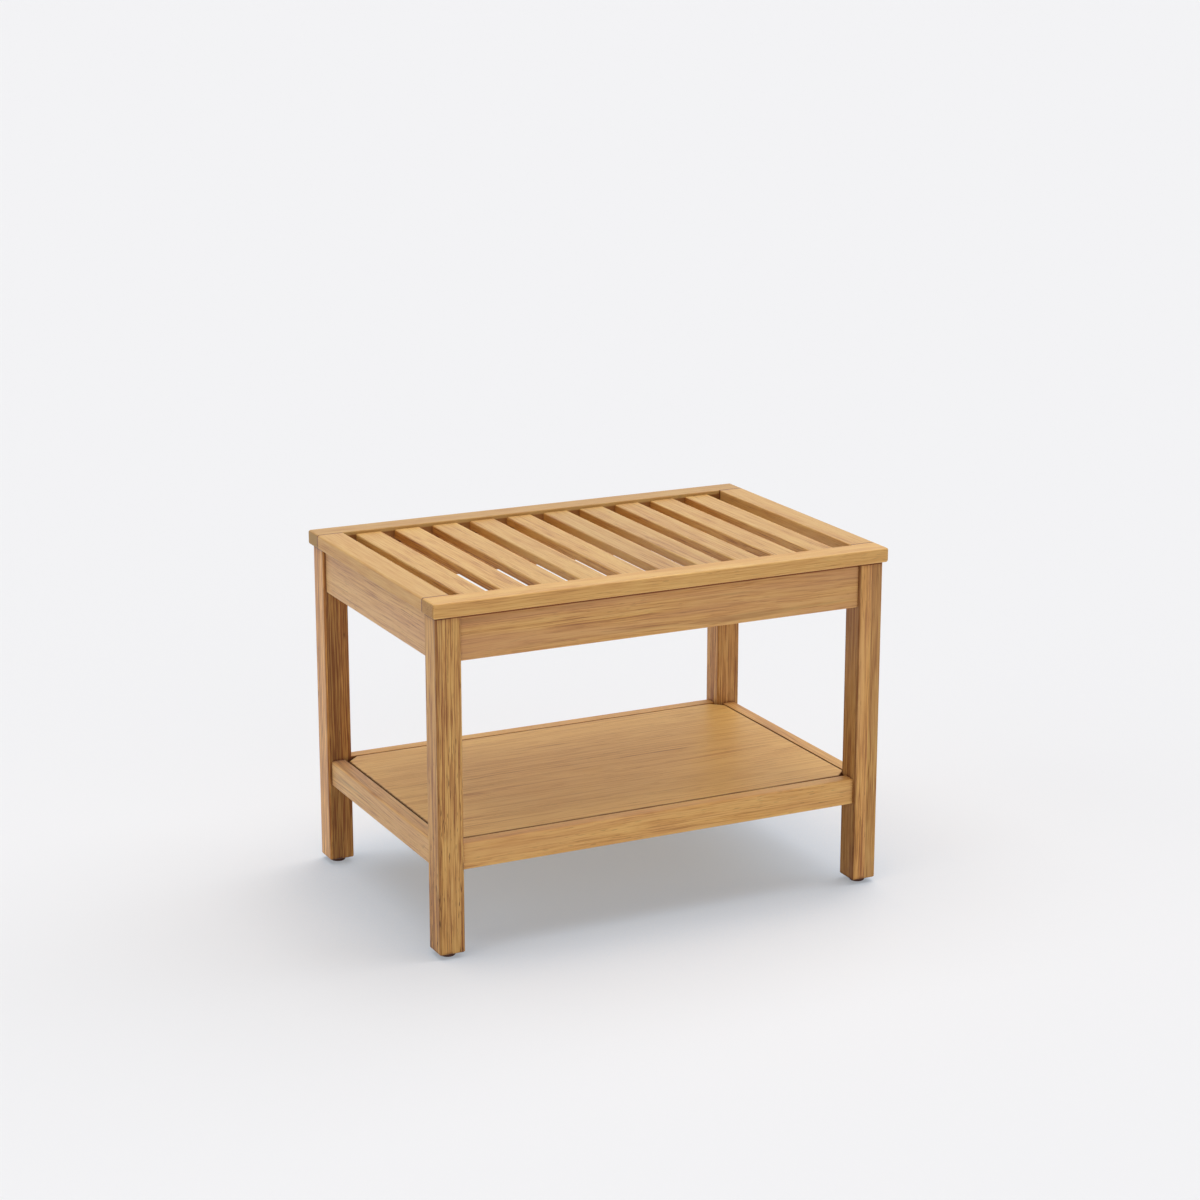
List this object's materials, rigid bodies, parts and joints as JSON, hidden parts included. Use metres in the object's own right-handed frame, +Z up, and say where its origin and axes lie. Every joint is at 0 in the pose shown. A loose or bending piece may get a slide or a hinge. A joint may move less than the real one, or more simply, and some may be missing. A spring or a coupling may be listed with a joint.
{
  "type": "bathroom bench",
  "caption": "Low oblong wooden bathroom bench with a slatted seat in a butted frame, square legs, deep aprons and an inset lower shelf, standing on round plastic glides.",
  "frame": {"origin": "on the floor, under the middle of the seat", "axes": "+X to the right along the bench, +Y to the back, +Z up"},
  "size_m": [0.6, 0.4, 0.432],
  "materials": {
    "oiled_wood": "oiled solid hardwood, satin",
    "shelf_veneer": "oiled straight-grained veneer, satin",
    "inner_wood": "sawn hardwood, unfinished",
    "dowel_wood": "plain turned hardwood",
    "brown_plastic": "moulded, matt",
    "zinc_steel": "zinc plated"
  },
  "bodies": {
    "root": {"apron_back": "oiled_wood", "apron_front": "oiled_wood", "apron_left": "oiled_wood", "apron_right": "oiled_wood", "block_screws": "zinc_steel", "bolt_nuts": "zinc_steel", "bolt_washers": "zinc_steel", "cleat_screws": "zinc_steel", "foot_glide_back_left": "brown_plastic", "foot_glide_back_right": "brown_plastic", "foot_glide_front_left": "brown_plastic", "foot_glide_front_right": "brown_plastic", "frame_dowels": "dowel_wood", "glide_nails": "zinc_steel", "hanger_bolts": "zinc_steel", "leg_back_left": "oiled_wood", "leg_back_right": "oiled_wood", "leg_front_left": "oiled_wood", "leg_front_right": "oiled_wood", "panel_screws": "zinc_steel", "shelf_block_back_left": "inner_wood", "shelf_block_back_right": "inner_wood", "shelf_block_front_left": "inner_wood", "shelf_block_front_right": "inner_wood", "shelf_cleat_back": "inner_wood", "shelf_cleat_front": "inner_wood", "shelf_cleat_left": "inner_wood", "shelf_cleat_right": "inner_wood", "shelf_panel": "shelf_veneer", "shelf_rail_back": "oiled_wood", "shelf_rail_front": "oiled_wood", "shelf_rail_left": "oiled_wood", "shelf_rail_right": "oiled_wood", "slat_01": "oiled_wood", "slat_02": "oiled_wood", "slat_03": "oiled_wood", "slat_04": "oiled_wood", "slat_05": "oiled_wood", "slat_06": "oiled_wood", "slat_07": "oiled_wood", "slat_08": "oiled_wood", "slat_09": "oiled_wood", "slat_10": "oiled_wood", "top_block_back_left": "inner_wood", "top_block_back_right": "inner_wood", "top_block_front_left": "inner_wood", "top_block_front_right": "inner_wood", "top_rail_back": "oiled_wood", "top_rail_front": "oiled_wood", "top_rail_left": "oiled_wood", "top_rail_right": "oiled_wood", "top_screws": "zinc_steel"}
  },
  "joints": []
}
